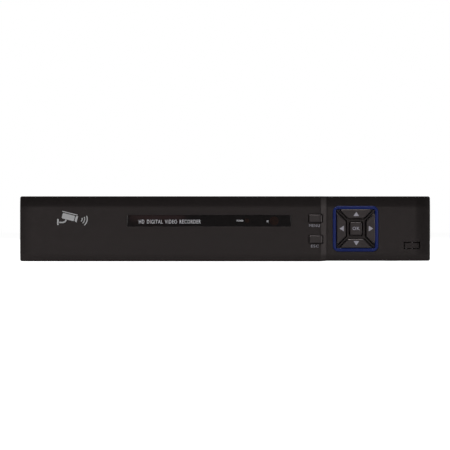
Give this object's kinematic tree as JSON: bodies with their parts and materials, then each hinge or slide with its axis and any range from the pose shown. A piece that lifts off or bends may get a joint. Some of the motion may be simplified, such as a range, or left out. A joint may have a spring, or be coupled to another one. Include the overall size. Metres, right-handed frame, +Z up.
{
  "type": "digital video recorder",
  "caption": "Low, wide video recorder: black moulded front with smoked window, blue-framed arrow pad and two side keys, on a vented steel case with coaxial and data sockets behind.",
  "frame": {"origin": "on the surface that the feet stand on, under the middle of the whole recorder", "axes": "+X towards the right-hand end seen from the front, where the navigation pad is; -Y towards the front; +Z up"},
  "size_m": [0.325, 0.2574, 0.0516],
  "materials": {
    "bezel_plastic": "fine satin grain, warm black",
    "window_acrylic": "smoked, polished",
    "ring_plastic": "deep blue translucent, satin",
    "key_plastic": "satin, slightly lighter than the bezel",
    "clear_plastic": "clear, polished",
    "black_plastic": "moulded, matt",
    "switch_can": "bright tin plate",
    "zinc_steel": "zinc plated",
    "black_steel": "powder coat, fine texture",
    "black_screw": "black zinc",
    "foot_rubber": "matt",
    "circuit_board": "green solder mask",
    "aluminium": "satin",
    "nickel_plate": "nickel plate, slightly dulled",
    "cable_plastic": "black sheath",
    "ribbon_plastic": "grey ribbon"
  },
  "bodies": {
    "case": {"front_bezel": "bezel_plastic", "display_window": "window_acrylic", "light_ring": "ring_plastic", "keypad_frame": "bezel_plastic", "control_board": "circuit_board", "power_lamp": "clear_plastic", "infrared_receiver": "black_plastic", "base_tray": "zinc_steel", "top_cover": "black_steel", "rear_panel": "black_steel", "main_board": "circuit_board", "heat_sink": "aluminium", "hard_drive": "aluminium", "fan_frame": "black_plastic", "drive_cable": "cable_plastic", "panel_cable": "ribbon_plastic", "phono_socket_block": "black_plastic", "vga_port": "nickel_plate", "hdmi_port": "nickel_plate", "lan_port": "nickel_plate", "usb_ports": "nickel_plate", "power_jack": "black_plastic", "tact_switch_up": "switch_can", "tact_switch_down": "switch_can", "tact_switch_left": "switch_can", "tact_switch_right": "switch_can", "tact_switch_ok": "switch_can", "tact_switch_menu": "switch_can", "tact_switch_esc": "switch_can", "cover_screw_left_front": "black_screw", "foot_left_front": "foot_rubber", "cover_screw_left_rear": "black_screw", "foot_left_rear": "foot_rubber", "cover_screw_right_front": "black_screw", "foot_right_front": "foot_rubber", "cover_screw_right_rear": "black_screw", "foot_right_rear": "foot_rubber", "coax_socket_lower_1": "nickel_plate", "coax_socket_lower_2": "nickel_plate", "coax_socket_lower_3": "nickel_plate", "coax_socket_lower_4": "nickel_plate", "coax_socket_upper_1": "nickel_plate", "coax_socket_upper_2": "nickel_plate", "coax_socket_upper_3": "nickel_plate", "coax_socket_upper_4": "nickel_plate"},
    "up_key": {"key_up": "key_plastic", "switch_stem_up": "black_plastic"},
    "down_key": {"key_down": "key_plastic", "switch_stem_down": "black_plastic"},
    "left_key": {"key_left": "key_plastic", "switch_stem_left": "black_plastic"},
    "right_key": {"key_right": "key_plastic", "switch_stem_right": "black_plastic"},
    "ok_key": {"key_ok": "key_plastic", "switch_stem_ok": "black_plastic"},
    "menu_key": {"key_menu": "key_plastic", "switch_stem_menu": "black_plastic"},
    "esc_key": {"key_esc": "key_plastic", "switch_stem_esc": "black_plastic"},
    "fan": {"fan_rotor": "black_plastic"}
  },
  "joints": [
    {"name": "up_key_press", "type": "slide", "parent": "case", "child": "up_key", "axis": [0, 1, 0], "range_m": [0, 0.0005], "stiffness_N_per_m": 600},
    {"name": "down_key_press", "type": "slide", "parent": "case", "child": "down_key", "axis": [0, 1, 0], "range_m": [0, 0.0005], "stiffness_N_per_m": 600},
    {"name": "left_key_press", "type": "slide", "parent": "case", "child": "left_key", "axis": [0, 1, 0], "range_m": [0, 0.0005], "stiffness_N_per_m": 600},
    {"name": "right_key_press", "type": "slide", "parent": "case", "child": "right_key", "axis": [0, 1, 0], "range_m": [0, 0.0005], "stiffness_N_per_m": 600},
    {"name": "ok_key_press", "type": "slide", "parent": "case", "child": "ok_key", "axis": [0, 1, 0], "range_m": [0, 0.0005], "stiffness_N_per_m": 600},
    {"name": "menu_key_press", "type": "slide", "parent": "case", "child": "menu_key", "axis": [0, 1, 0], "range_m": [0, 0.0005], "stiffness_N_per_m": 600},
    {"name": "esc_key_press", "type": "slide", "parent": "case", "child": "esc_key", "axis": [0, 1, 0], "range_m": [0, 0.0005], "stiffness_N_per_m": 600},
    {"name": "fan_spin", "type": "hinge", "parent": "case", "child": "fan", "pos_m": [-0.134, 0.11015, 0.0284], "axis": [0, 1, 0], "continuous": true}
  ]
}
